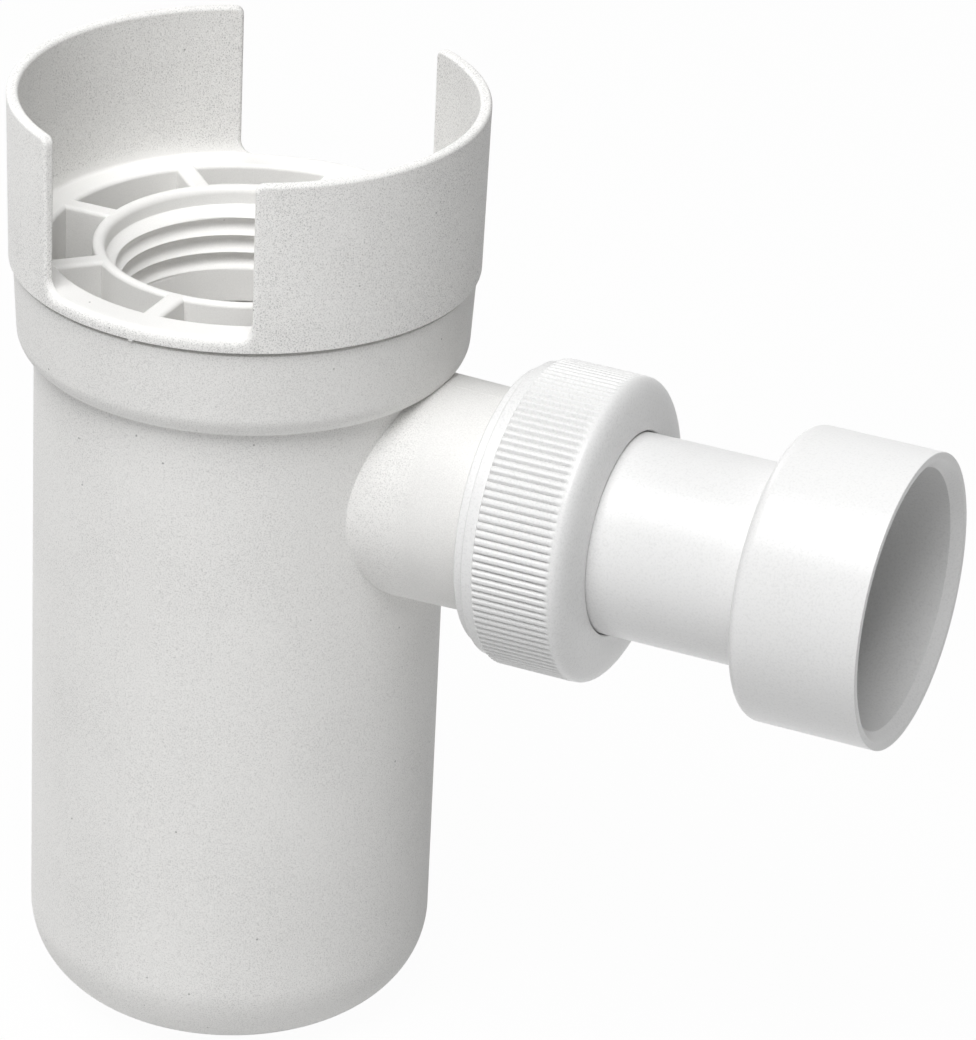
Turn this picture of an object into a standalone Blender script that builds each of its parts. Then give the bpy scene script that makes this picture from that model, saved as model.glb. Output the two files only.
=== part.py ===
import math

import bmesh
import bpy
from mathutils import Matrix, Vector

# Sizes in millimetres. Z = 0 is the rim of the threaded hub that the trap hangs from, Z is the trap's axis
# and the outlet runs along X.
MM = 0.001
TAU = 2.0 * math.pi

# Facets round a full turn
SIDES = 44
SIDES_SMALL = 36

# How far a cutter runs past the face that it cuts
CUT_PAST = 2.0

# Clearances between separate mouldings
GAP = 0.25
FIT_GAP = 0.35

# Heights of the whole trap
LEDGE_Z = 0.0
DEPTH = 102.0
WING_HEIGHT = 19.75
SKIRT_HEIGHT = 1.75
OUTLET_DROP = 26.6

# Cup and collar
BODY_TAPER = 0.15
BODY_WALL = 2.0
BASE_ROUND = 10.7
COLLAR_STEP = 2.15
COLLAR_TAPER = 0.45
COLLAR_WALL = 1.7
COLLAR_HEIGHT = 11.95
COLLAR_ROUND = 3.2
COLLAR_EDGE = 0.25
COLLAR_SEAT_DEPTH = 9.25
COLLAR_LEAD_IN = 0.5
SNAP_DEPTH = 3.9
SNAP_WIDTH = 1.5
SNAP_HEIGHT = 0.6

# Crown with its wings
CROWN_STEP = 0.55
CROWN_TAPER = 0.35
WING_WALL = 1.45
RIM_ROUND = 0.45
LEDGE_ROUND = 1.1
RING_WALL = 1.95
RING_EDGE = 0.4
SKIRT_EDGE = 0.2
SPIGOT_DEPTH = 8.0
SLOT_HALF = 13.6
SLOT_CORNER = 1.2
WINDOW = 5.6
FINS = 8
FIN_WIDTH = 2.5
FIN_DEPTH = 7.0
FIN_EDGE = 0.4
FIN_SINK = 0.8

# Threaded hub in the crown
PITCH = 2.309
HUB_ROOT_R = 16.6
THREAD_DEPTH = 1.35
HUB_WALL = 2.1
HUB_TAPER = 0.2
HUB_EDGE = 0.5
HUB_DEPTH = 12.0
HUB_SEAT_STEP = 0.5
HUB_SEAT_DEPTH = 2.2
HUB_THREAD_START = 3.96
HUB_THREAD_LENGTH = 8.3
HUB_LOW_EDGE = 0.3
THREAD_CHAMFER = 1.3

# Funnel, dip tube and their seal
FUNNEL_FLANGE = 1.25
FUNNEL_STEP = 0.1
DIP_R = 12.6
DIP_WALL = 1.6
DIP_CLEAR = 7.2
SEAL_HEIGHT = 1.2
SEAL_WIDTH = 1.1

# Outlet branch
BRANCH_WALL = 2.15
BRANCH_TAPER = 0.25
BRANCH_NECK = 10.5
BRANCH_FLARE = 1.4
FLARE_RUN = 0.4
BRANCH_LEAD = 0.6
UNION_STEP = 1.15
UNION_DEPTH = 1.4
UNION_THREAD_LENGTH = 7.4
UNION_CLEAR = 0.3

# Gasket and flange in the union
GASKET = 1.7
GASKET_INSET = 0.25
FLANGE = 1.7
FLANGE_STEP = 2.55

# Union nut
NUT_SETBACK = 1.0
NUT_RIM = 1.4
NUT_STEP = 1.6
NUT_RIM_DROP = 1.0
NUT_STEP_DROP = 0.25
NUT_WALL = 1.8
NUT_END_WALL = 2.25
NUT_ENTRY = 0.15
NUT_ENTRY_LENGTH = 0.3
NUT_SHOULDER = 2.0
NUT_FACE = 1.1
RIDGES = 120
RIDGE_HEIGHT = 0.45
RIDGE_SINK = 0.05
RIDGE_INSET = 0.15
BAND_DEPTH = 0.6

# Tail pipe with its socket
TAIL_R = 12.5
TAIL_WALL = 1.6
TAIL_BARE = 20.2
SOCKET_BORE_R = 16.05
SOCKET_WALL = 2.1
SOCKET_FLOOR = 2.1
SOCKET_LENGTH = 16.4
SOCKET_ROUND = 1.6
MOUTH_CHAMFER = 1.3
MOUTH_FLARE = 1.17
MOUTH_EDGE = 0.25

# Radii that follow, from the hub outwards to the collar and the wings
HUB_BORE_R = HUB_ROOT_R - THREAD_DEPTH
HUB_SEAT_R = HUB_ROOT_R + HUB_SEAT_STEP
HUB_R = HUB_ROOT_R + HUB_WALL
RING_INNER_R = HUB_R + WINDOW
FUNNEL_TOP_R = RING_INNER_R + FUNNEL_STEP
SPIGOT_R = RING_INNER_R + RING_WALL
COLLAR_BORE_R = SPIGOT_R + FIT_GAP
COLLAR_TOP_R = COLLAR_BORE_R + COLLAR_WALL
COLLAR_LOW_R = COLLAR_TOP_R - COLLAR_TAPER
BODY_TOP_R = COLLAR_LOW_R - COLLAR_STEP
BODY_LOW_R = BODY_TOP_R - BODY_TAPER
BODY_BORE_R = BODY_TOP_R - BODY_WALL
CROWN_LOW_R = COLLAR_TOP_R + CROWN_STEP
CROWN_TOP_R = CROWN_LOW_R + CROWN_TAPER
WING_INNER_R = CROWN_TOP_R - WING_WALL

# Heights that follow, from the ledge down
WING_TOP_Z = LEDGE_Z + WING_HEIGHT
BASE_Z = LEDGE_Z - DEPTH
SEAM_Z = LEDGE_Z - SKIRT_HEIGHT
COLLAR_TOP_Z = SEAM_Z - GAP
COLLAR_LOW_Z = COLLAR_TOP_Z - COLLAR_HEIGHT
SNAP_Z = COLLAR_TOP_Z - SNAP_DEPTH
SEAT_Z = COLLAR_TOP_Z - COLLAR_SEAT_DEPTH
SPIGOT_Z = LEDGE_Z - SPIGOT_DEPTH
OUTLET_Z = LEDGE_Z - OUTLET_DROP
FLOOR_Z = BASE_Z + BODY_WALL
DIP_END_Z = FLOOR_Z + DIP_CLEAR

# Radii of the outlet that follow, from the tail pipe outwards
FLANGE_R = TAIL_R + FLANGE_STEP
UNION_MINOR_R = FLANGE_R
UNION_MAJOR_R = UNION_MINOR_R + UNION_DEPTH
BRANCH_END_R = UNION_MINOR_R - UNION_STEP
BRANCH_R = BRANCH_END_R + BRANCH_TAPER
BRANCH_BORE_R = BRANCH_R - BRANCH_WALL
GASKET_R = UNION_MINOR_R - GASKET_INSET
NUT_MINOR_R = UNION_MINOR_R + UNION_CLEAR
NUT_MAJOR_R = UNION_MAJOR_R + UNION_CLEAR
NUT_ROOT_R = NUT_MAJOR_R + NUT_WALL
NUT_RIDGE_R = NUT_ROOT_R + RIDGE_HEIGHT
NUT_SHOULDER_R = NUT_RIDGE_R - RIDGE_SINK
NUT_STEP_R = NUT_ROOT_R - NUT_STEP_DROP
NUT_RIM_R = NUT_STEP_R - NUT_RIM_DROP
NUT_HOLE_R = TAIL_R + FIT_GAP
NUT_FACE_R = NUT_HOLE_R + NUT_FACE
SOCKET_R = SOCKET_BORE_R + SOCKET_WALL

# Places along the outlet that follow
BRANCH_FLARE_X = BODY_TOP_R + BRANCH_NECK
UNION_THREAD_X = BRANCH_FLARE_X + BRANCH_FLARE + FLARE_RUN
UNION_THREAD_END_X = UNION_THREAD_X + UNION_THREAD_LENGTH
BRANCH_END_X = UNION_THREAD_END_X + BRANCH_LEAD
GASKET_X = BRANCH_END_X + GAP
FLANGE_X = GASKET_X + GASKET + GAP
NUT_SEAT_X = FLANGE_X + FLANGE + GAP
NUT_START_X = BRANCH_FLARE_X + NUT_SETBACK
NUT_RIM_X = NUT_START_X + NUT_RIM
NUT_BAND_X = NUT_RIM_X + NUT_STEP
NUT_END_X = NUT_SEAT_X + NUT_END_WALL
NUT_BAND_END_X = NUT_END_X - NUT_SHOULDER
SHOULDER_X = NUT_END_X + TAIL_BARE
SOCKET_FLOOR_X = SHOULDER_X + SOCKET_FLOOR
MOUTH_X = SHOULDER_X + SOCKET_LENGTH

# Distances under which points of a mesh are one, in millimetres
SAME = 0.0005
SAME_CUT = 0.002


def material(name, colour, roughness):
    mat = bpy.data.materials.new(name)
    mat.use_nodes = True
    shader = mat.node_tree.nodes["Principled BSDF"]
    shader.inputs["Base Color"].default_value = (colour[0], colour[1], colour[2], 1.0)
    shader.inputs["Roughness"].default_value = roughness
    return mat


def arc(centre_r, centre_h, radius, start, end, count, radius_h=None):
    """Points of a profile's arc, angles in degrees from +r towards +h. With radius_h it is an ellipse's."""
    if radius_h is None:
        radius_h = radius
    points = []
    for i in range(count + 1):
        a = math.radians(start + (end - start) * i / count)
        points.append((centre_r + radius * math.cos(a), centre_h + radius_h * math.sin(a)))
    return points


def round_z(r, h, angle):
    """The point at radius r, height h and an angle round the trap's axis."""
    return (r * math.cos(angle), r * math.sin(angle), h)


def round_x(r, h, angle):
    """The point at radius r, distance h and an angle round the outlet's axis."""
    return (h, r * math.cos(angle), OUTLET_Z + r * math.sin(angle))


def finish(bm, name):
    """Cleans the mesh, points its faces outwards and makes it an object in metres."""
    bmesh.ops.remove_doubles(bm, verts=bm.verts, dist=SAME)
    bmesh.ops.dissolve_degenerate(bm, edges=bm.edges, dist=SAME)
    bmesh.ops.recalc_face_normals(bm, faces=bm.faces)
    if bm.calc_volume(signed=True) < 0.0:
        bmesh.ops.reverse_faces(bm, faces=bm.faces)
    bmesh.ops.scale(bm, verts=bm.verts, vec=(MM, MM, MM))
    mesh = bpy.data.meshes.new(name)
    bm.to_mesh(mesh)
    bm.free()
    obj = bpy.data.objects.new(name, mesh)
    bpy.context.scene.collection.objects.link(obj)
    return obj


def lathe(name, profile, sides=SIDES, turn=round_z):
    """A solid turned from a closed profile of (radius, height) points."""
    bm = bmesh.new()
    columns = []
    for i in range(sides):
        columns.append([bm.verts.new(turn(r, h, TAU * i / sides)) for r, h in profile])
    for i in range(sides):
        here = columns[i]
        there = columns[(i + 1) % sides]
        for k in range(len(profile)):
            n = (k + 1) % len(profile)
            on_axis = profile[k][0] == 0.0
            next_on_axis = profile[n][0] == 0.0
            if on_axis and next_on_axis:
                continue
            if on_axis:
                bm.faces.new((here[k], here[n], there[n]))
            elif next_on_axis:
                bm.faces.new((here[k], here[n], there[k]))
            else:
                bm.faces.new((here[k], here[n], there[n], there[k]))
    return finish(bm, name)


def threaded(name, outline, low, high, base_r, cut_r, start=0.0, turn=round_z, low_r=None, high_r=None):
    """A turned solid whose wall from height low to height high carries a right-hand thread.

    The outline runs from the wall's high end round to its low end. The thread leaves base_r for
    cut_r. At an end with no radius of its own it fades out to base_r. At an open end it runs out
    through a chamfer that has the given radius at the very end.
    """
    shape = [(0.0, base_r), (0.14, base_r), (0.47, cut_r), (0.67, cut_r)]
    first = math.floor((low - start) / PITCH) - 2
    last = math.floor((high - start) / PITCH) + 2
    fade = 0.45 * PITCH

    def wall(height, radius):
        for inside, end_r in ((height - low, low_r), (high - height, high_r)):
            if end_r is None:
                share = min(1.0, max(0.0, inside / fade))
                radius = base_r + (radius - base_r) * share
            else:
                share = min(1.0, max(0.0, inside / THREAD_CHAMFER))
                radius = max(radius, end_r + (base_r - end_r) * share)
        return radius

    bm = bmesh.new()
    columns = []
    for i in range(SIDES + 1):
        column = []
        for pitch in range(last, first, -1):
            for part, radius in shape:
                height = start + PITCH * (i / SIDES + pitch - part)
                height = min(high, max(low, height))
                column.append(bm.verts.new(turn(wall(height, radius), height, TAU * i / SIDES)))
        columns.append(column)
    for here, there in zip(columns, columns[1:]):
        for k in range(len(here) - 1):
            bm.faces.new((here[k], here[k + 1], there[k + 1], there[k]))
    rims = []
    for i in range(SIDES):
        rims.append([bm.verts.new(turn(r, h, TAU * i / SIDES)) for r, h in outline])
    for i in range(SIDES):
        here = rims[i]
        there = rims[(i + 1) % SIDES]
        for k in range(len(outline) - 1):
            bm.faces.new((here[k], here[k + 1], there[k + 1], there[k]))
    return finish(bm, name)


def bar(bm, outline, place, low, high):
    """Adds a straight bar to the mesh: the outline's points, placed at low and at high."""
    front = [bm.verts.new(place(u, v, low)) for u, v in outline]
    back = [bm.verts.new(place(u, v, high)) for u, v in outline]
    bm.faces.new(front)
    bm.faces.new(list(reversed(back)))
    for k in range(len(outline)):
        n = (k + 1) % len(outline)
        bm.faces.new((front[k], back[k], back[n], front[n]))


def across(name, outline):
    """A bar right across the crown along Y, from a closed outline of (x, z) points."""
    reach = CROWN_TOP_R + CUT_PAST
    bm = bmesh.new()
    bar(bm, outline, lambda x, z, y: (x, y, z), -reach, reach)
    return finish(bm, name)


def combine(obj, other, operation):
    """Joins, cuts or intersects two solids and removes the second."""
    modifier = obj.modifiers.new(operation, "BOOLEAN")
    modifier.operation = operation
    modifier.solver = "EXACT"
    modifier.object = other
    bpy.context.view_layer.update()
    graph = bpy.context.evaluated_depsgraph_get()
    mesh = bpy.data.meshes.new_from_object(obj.evaluated_get(graph))
    obj.modifiers.clear()
    old = obj.data
    obj.data = mesh
    bpy.data.meshes.remove(old)
    bpy.data.objects.remove(other)
    bm = bmesh.new()
    bm.from_mesh(mesh)
    bmesh.ops.remove_doubles(bm, verts=bm.verts, dist=SAME_CUT * MM)
    bmesh.ops.dissolve_degenerate(bm, edges=bm.edges, dist=SAME_CUT * MM)
    bm.to_mesh(mesh)
    bm.free()
    return obj


def crown_ring():
    """Ring, snap skirt and the two wings, still as one full wall."""
    profile = [(SPIGOT_R, SEAM_Z), (CROWN_LOW_R - SKIRT_EDGE, SEAM_Z), (CROWN_LOW_R, SEAM_Z + SKIRT_EDGE)]
    rim_z = WING_TOP_Z - RIM_ROUND
    profile += arc(CROWN_TOP_R - RIM_ROUND, rim_z, RIM_ROUND, 0, 90, 3)
    profile += arc(WING_INNER_R + RIM_ROUND, rim_z, RIM_ROUND, 90, 180, 3)
    profile += [(WING_INNER_R, LEDGE_Z), (RING_INNER_R + RING_EDGE, LEDGE_Z)]
    profile += [(RING_INNER_R, LEDGE_Z - RING_EDGE), (RING_INNER_R, SPIGOT_Z)]
    profile += [(SPIGOT_R - RING_EDGE, SPIGOT_Z), (SPIGOT_R, SPIGOT_Z + RING_EDGE)]
    bead_r = SPIGOT_R + SNAP_HEIGHT
    profile += [(SPIGOT_R, SNAP_Z - SNAP_WIDTH / 2.0), (bead_r, SNAP_Z - SNAP_WIDTH / 4.0)]
    profile += [(bead_r, SNAP_Z + SNAP_WIDTH / 6.0), (SPIGOT_R, SNAP_Z + SNAP_WIDTH / 2.0)]
    return lathe("ring", profile)


def wing_slot():
    """Cutter for the straight slot between the wings, with rounded feet and top corners."""
    slot = arc(SLOT_HALF - SLOT_CORNER, LEDGE_Z + SLOT_CORNER, SLOT_CORNER, -90, 0, 4)
    slot += arc(SLOT_HALF + SLOT_CORNER, WING_TOP_Z - SLOT_CORNER, SLOT_CORNER, 180, 90, 4)
    slot += [(SLOT_HALF + SLOT_CORNER, WING_TOP_Z + CUT_PAST)]
    slot += [(-x, z) for x, z in reversed(slot)]
    return across("slot", slot)


def ledge_rounding():
    """Cutter that rounds the ledge's outer edge where the slot leaves it bare."""
    edge_r = CROWN_LOW_R + CROWN_TAPER * SKIRT_HEIGHT / (SKIRT_HEIGHT + WING_HEIGHT)
    outline = arc(edge_r - LEDGE_ROUND, LEDGE_Z - LEDGE_ROUND, LEDGE_ROUND, 90, 0, 4)
    outline += [(edge_r + CUT_PAST, LEDGE_Z - LEDGE_ROUND), (edge_r + CUT_PAST, LEDGE_Z + CUT_PAST)]
    outline += [(edge_r - LEDGE_ROUND, LEDGE_Z + CUT_PAST)]
    half = SLOT_HALF - SLOT_CORNER
    low = LEDGE_Z - LEDGE_ROUND - CUT_PAST
    high = LEDGE_Z + 2.0 * CUT_PAST
    keep = across("keep", [(-half, low), (half, low), (half, high), (-half, high)])
    return combine(lathe("rounding", outline), keep, "INTERSECT")


def crown_fins():
    """The fins between the windows, each from inside the hub's wall to inside the ring's."""
    inner = (HUB_SEAT_R + HUB_R) / 2.0
    outer = RING_INNER_R + FIN_SINK
    half = FIN_WIDTH / 2.0
    low = LEDGE_Z - FIN_DEPTH
    edge_z = LEDGE_Z - FIN_EDGE
    section = [(-half, low), (half, low), (half, edge_z), (half - FIN_EDGE, LEDGE_Z)]
    section += [(FIN_EDGE - half, LEDGE_Z), (-half, edge_z)]
    bm = bmesh.new()
    for i in range(FINS):
        out = Vector(round_z(1.0, 0.0, TAU * i / FINS))
        side = Vector((-out.y, out.x, 0.0))
        up = Vector((0.0, 0.0, 1.0))
        bar(bm, section, lambda u, v, r: out * r + side * u + up * v, inner, outer)
    return finish(bm, "fins")


def crown_hub():
    """Hub with a flat rim, a plain seat and the female thread."""
    low_z = LEDGE_Z - HUB_DEPTH
    thread_high = LEDGE_Z - HUB_SEAT_DEPTH
    thread_low = thread_high - HUB_THREAD_LENGTH
    outline = [(HUB_SEAT_R, thread_high), (HUB_SEAT_R, LEDGE_Z - HUB_EDGE)]
    outline += [(HUB_SEAT_R + HUB_EDGE, LEDGE_Z), (HUB_R - HUB_EDGE, LEDGE_Z)]
    outline += [(HUB_R, LEDGE_Z - HUB_EDGE), (HUB_R - HUB_TAPER, low_z)]
    outline += [(HUB_BORE_R + HUB_LOW_EDGE, low_z), (HUB_BORE_R, low_z + HUB_LOW_EDGE)]
    outline += [(HUB_BORE_R, thread_low)]
    start = LEDGE_Z - HUB_THREAD_START
    return threaded("hub", outline, thread_low, thread_high, HUB_BORE_R, HUB_ROOT_R, start, high_r=HUB_SEAT_R)


def inlet_crown():
    """Ring, snap skirt, two wings, the fins and the threaded hub, one moulding."""
    crown = combine(crown_ring(), wing_slot(), "DIFFERENCE")
    crown = combine(crown, ledge_rounding(), "DIFFERENCE")
    crown = combine(crown, crown_fins(), "UNION")
    return combine(crown, crown_hub(), "UNION")


def cup_outside():
    """The cup and its collar, still solid."""
    turn_in = math.degrees(math.acos(max(-1.0, 1.0 - COLLAR_STEP / COLLAR_ROUND)))
    profile = [(0.0, BASE_Z)]
    profile += arc(BODY_LOW_R - BASE_ROUND, BASE_Z + BASE_ROUND, BASE_ROUND, -90, 0, 7)
    profile += arc(COLLAR_LOW_R - COLLAR_ROUND, COLLAR_LOW_Z + COLLAR_ROUND, COLLAR_ROUND, -turn_in, 0, 5)
    profile += [(COLLAR_TOP_R, COLLAR_TOP_Z - COLLAR_EDGE), (COLLAR_TOP_R - COLLAR_EDGE, COLLAR_TOP_Z)]
    profile += [(0.0, COLLAR_TOP_Z)]
    return lathe("cup", profile)


def cup_inside():
    """Cutter for the cup's inside, with the seat for the funnel and the groove for the snap bead."""
    inner_low = BODY_LOW_R - BODY_WALL
    inner_round = BASE_ROUND - BODY_WALL
    groove_r = COLLAR_BORE_R + SNAP_HEIGHT
    groove_half = SNAP_WIDTH * 0.6
    past_z = COLLAR_TOP_Z + CUT_PAST
    mouth_r = COLLAR_BORE_R + COLLAR_LEAD_IN
    profile = [(0.0, FLOOR_Z)]
    profile += arc(inner_low - inner_round, FLOOR_Z + inner_round, inner_round, -90, 0, 6)
    profile += [(BODY_BORE_R, SEAT_Z), (COLLAR_BORE_R, SEAT_Z), (COLLAR_BORE_R, SNAP_Z - SNAP_WIDTH)]
    profile += [(groove_r, SNAP_Z - groove_half), (groove_r, SNAP_Z + groove_half)]
    profile += [(COLLAR_BORE_R, SNAP_Z + SNAP_WIDTH), (COLLAR_BORE_R, COLLAR_TOP_Z - COLLAR_LEAD_IN)]
    profile += [(mouth_r, COLLAR_TOP_Z), (mouth_r, past_z), (0.0, past_z)]
    return lathe("inside", profile)


def branch_outside():
    """The branch with its flare and male thread, from the trap's axis out."""
    core_r = BRANCH_BORE_R / 2.0
    outline = [(UNION_MINOR_R, UNION_THREAD_END_X), (UNION_MINOR_R - FLARE_RUN, BRANCH_END_X)]
    outline += [(core_r, BRANCH_END_X), (core_r, 0.0), (BRANCH_R, 0.0), (BRANCH_R, BODY_BORE_R)]
    outline += [(BRANCH_END_R, BRANCH_FLARE_X), (UNION_MINOR_R, BRANCH_FLARE_X + BRANCH_FLARE)]
    outline += [(UNION_MINOR_R, UNION_THREAD_X)]
    ends = (UNION_THREAD_X, UNION_THREAD_END_X)
    return threaded("branch", outline, *ends, UNION_MINOR_R, UNION_MAJOR_R, turn=round_x)


def trap_body():
    """Collar, cup and outlet branch with its thread, one moulding."""
    body = combine(cup_outside(), branch_outside(), "UNION")
    body = combine(body, cup_inside(), "DIFFERENCE")
    past_x = BRANCH_END_X + CUT_PAST
    bore = [(0.0, 0.0), (BRANCH_BORE_R, 0.0), (BRANCH_BORE_R, past_x), (0.0, past_x)]
    return combine(body, lathe("bore", bore, SIDES_SMALL, round_x), "DIFFERENCE")


def dip_tube():
    """Funnel under the crown's windows and the tube that dips into the water seal, one moulding."""
    high = SPIGOT_Z - GAP
    low = high - FUNNEL_FLANGE
    inner = DIP_R - DIP_WALL
    neck_z = high - (FUNNEL_TOP_R - inner)
    slant = DIP_WALL * math.sqrt(2.0)
    profile = [(SPIGOT_R, high), (FUNNEL_TOP_R, high), (inner, neck_z), (inner, DIP_END_Z)]
    profile += [(DIP_R, DIP_END_Z), (DIP_R, neck_z - slant + DIP_WALL)]
    profile += [(FUNNEL_TOP_R + slant - FUNNEL_FLANGE, low), (SPIGOT_R, low)]
    return lathe("dip", profile)


def insert_seal():
    """Rubber ring between the funnel's flange and the seat in the collar."""
    low = SEAT_Z + GAP
    high = low + SEAL_HEIGHT
    inner = SPIGOT_R - SEAL_WIDTH
    return lathe("seal", [(inner, low), (SPIGOT_R, low), (SPIGOT_R, high), (inner, high)])


def ridged_band():
    """Band of fine straight ridges round the nut."""
    low_r = NUT_ROOT_R - RIDGE_SINK
    inner_r = NUT_ROOT_R - BAND_DEPTH
    count = 2 * RIDGES
    bm = bmesh.new()
    outer = []
    inner = []
    for x in (NUT_BAND_X + RIDGE_INSET, NUT_BAND_END_X - RIDGE_INSET):
        radii = [NUT_RIDGE_R if i % 2 == 0 else low_r for i in range(count)]
        outer.append([bm.verts.new(round_x(r, x, TAU * i / count)) for i, r in enumerate(radii)])
        inner.append([bm.verts.new(round_x(inner_r, x, TAU * i / count)) for i in range(0, count, 2)])
    for i in range(count):
        n = (i + 1) % count
        bm.faces.new((outer[0][i], outer[0][n], outer[1][n], outer[1][i]))
    for i in range(len(inner[0])):
        n = (i + 1) % len(inner[0])
        bm.faces.new((inner[0][i], inner[1][i], inner[1][n], inner[0][n]))
        for end in (0, 1):
            rim = [outer[end][(2 * i + k) % count] for k in range(3)]
            bm.faces.new(rim + [inner[end][n], inner[end][i]])
    return finish(bm, "band")


def union_nut():
    """Nut with its threaded bore, ridged band, plain bands and rounded shoulder, one moulding."""
    thread_x = NUT_START_X + NUT_ENTRY_LENGTH
    thread_end_x = BRANCH_END_X + UNION_CLEAR
    entry_r = NUT_MAJOR_R + NUT_ENTRY
    drop = NUT_SHOULDER_R - NUT_FACE_R
    outline = [(NUT_MINOR_R, thread_end_x), (NUT_MINOR_R, NUT_SEAT_X), (NUT_HOLE_R, NUT_SEAT_X)]
    outline += [(NUT_HOLE_R, NUT_END_X)]
    outline += arc(NUT_FACE_R, NUT_BAND_END_X, drop, 90, 0, 5, NUT_SHOULDER)
    outline += [(NUT_ROOT_R, NUT_BAND_END_X), (NUT_ROOT_R, NUT_BAND_X), (NUT_STEP_R, NUT_BAND_X)]
    outline += [(NUT_STEP_R, NUT_RIM_X), (NUT_RIM_R, NUT_RIM_X), (NUT_RIM_R, NUT_START_X)]
    outline += [(entry_r, NUT_START_X), (entry_r, thread_x)]
    ends = (thread_x, thread_end_x)
    nut = threaded("nut", outline, *ends, NUT_MINOR_R, NUT_MAJOR_R, turn=round_x, low_r=entry_r)
    return combine(nut, ridged_band(), "UNION")


def outlet_gasket():
    """Flat rubber washer between the branch's end and the tail pipe's flange."""
    high = GASKET_X + GASKET
    profile = [(BRANCH_BORE_R, GASKET_X), (GASKET_R, GASKET_X), (GASKET_R, high), (BRANCH_BORE_R, high)]
    return lathe("gasket", profile, SIDES_SMALL, round_x)


def tail_pipe():
    """Flange, tube and socket, one moulding."""
    bore = TAIL_R - TAIL_WALL
    flange_end = FLANGE_X + FLANGE
    profile = [(bore, FLANGE_X), (FLANGE_R, FLANGE_X), (FLANGE_R, flange_end), (TAIL_R, flange_end)]
    profile += [(TAIL_R, SHOULDER_X)]
    profile += arc(SOCKET_R - SOCKET_ROUND, SHOULDER_X + SOCKET_ROUND, SOCKET_ROUND, -90, 0, 4)
    profile += [(SOCKET_R, MOUTH_X - MOUTH_EDGE), (SOCKET_R - MOUTH_EDGE, MOUTH_X)]
    profile += [(SOCKET_BORE_R + MOUTH_FLARE, MOUTH_X), (SOCKET_BORE_R, MOUTH_X - MOUTH_CHAMFER)]
    profile += [(SOCKET_BORE_R, SOCKET_FLOOR_X), (bore, SOCKET_FLOOR_X)]
    return lathe("tail", profile, SIDES, round_x)


def axis_empty(name, place, parent=None):
    """An empty on a joint's axis, which carries the pieces that move with it."""
    empty = bpy.data.objects.new(name, None)
    bpy.context.scene.collection.objects.link(empty)
    empty.location = Vector(place) * MM
    if parent:
        empty.parent = parent
        empty.matrix_parent_inverse = parent.matrix_world.inverted()
    bpy.context.view_layer.update()
    return empty


def dress(obj, name, mat, carrier, smooth_angle=32.0):
    """Names the solid, gives it its material and smooth rounds, and puts its origin on its carrier's axis."""
    obj.name = name
    obj.data.name = name
    obj.data.materials.clear()
    obj.data.materials.append(mat)
    obj.data.shade_smooth()
    obj.data.set_sharp_from_angle(angle=math.radians(smooth_angle))
    obj.data.transform(Matrix.Translation(-carrier.matrix_world.translation))
    obj.parent = carrier


def main():
    for obj in list(bpy.data.objects):
        bpy.data.objects.remove(obj, do_unlink=True)
    shell = (0.72, 0.71, 0.69)
    rubber = (0.03, 0.03, 0.03)
    crown_axis = axis_empty("crown_axis", (0.0, 0.0, LEDGE_Z))
    trap_axis = axis_empty("trap_axis", (0.0, 0.0, SNAP_Z))
    union_axis = axis_empty("union_axis", (BRANCH_END_X, 0.0, OUTLET_Z), trap_axis)
    dress(inlet_crown(), "inlet_crown", material("crown_plastic", shell, 0.5), crown_axis)
    dress(trap_body(), "trap_body", material("body_plastic", shell, 0.5), trap_axis)
    dress(dip_tube(), "dip_tube", material("dip_plastic", (0.7, 0.69, 0.67), 0.5), trap_axis)
    dress(insert_seal(), "insert_seal", material("seal_rubber", rubber, 0.6), trap_axis)
    dress(outlet_gasket(), "outlet_gasket", material("gasket_rubber", rubber, 0.6), union_axis)
    dress(tail_pipe(), "tail_pipe", material("tail_plastic", (0.82, 0.82, 0.81), 0.3), union_axis)
    dress(union_nut(), "union_nut", material("nut_plastic", (0.8, 0.8, 0.79), 0.35), union_axis)


main()
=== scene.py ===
# %% [markdown]
# # A tundish trap in white plastic
#
# A tundish trap hangs under the safety valve of a water heater. Drips fall into its open crown, pass the
# water that stands in the deep cup, and leave through the outlet at the side. The real one has seven
# pieces: five mouldings and two rubber rings.
#
# The measured solids come first. They have the true sizes but coarse facets, so each moulding is made again
# here as a fine mesh, to the same sizes and in the same place, and takes over from its solid.

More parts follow.
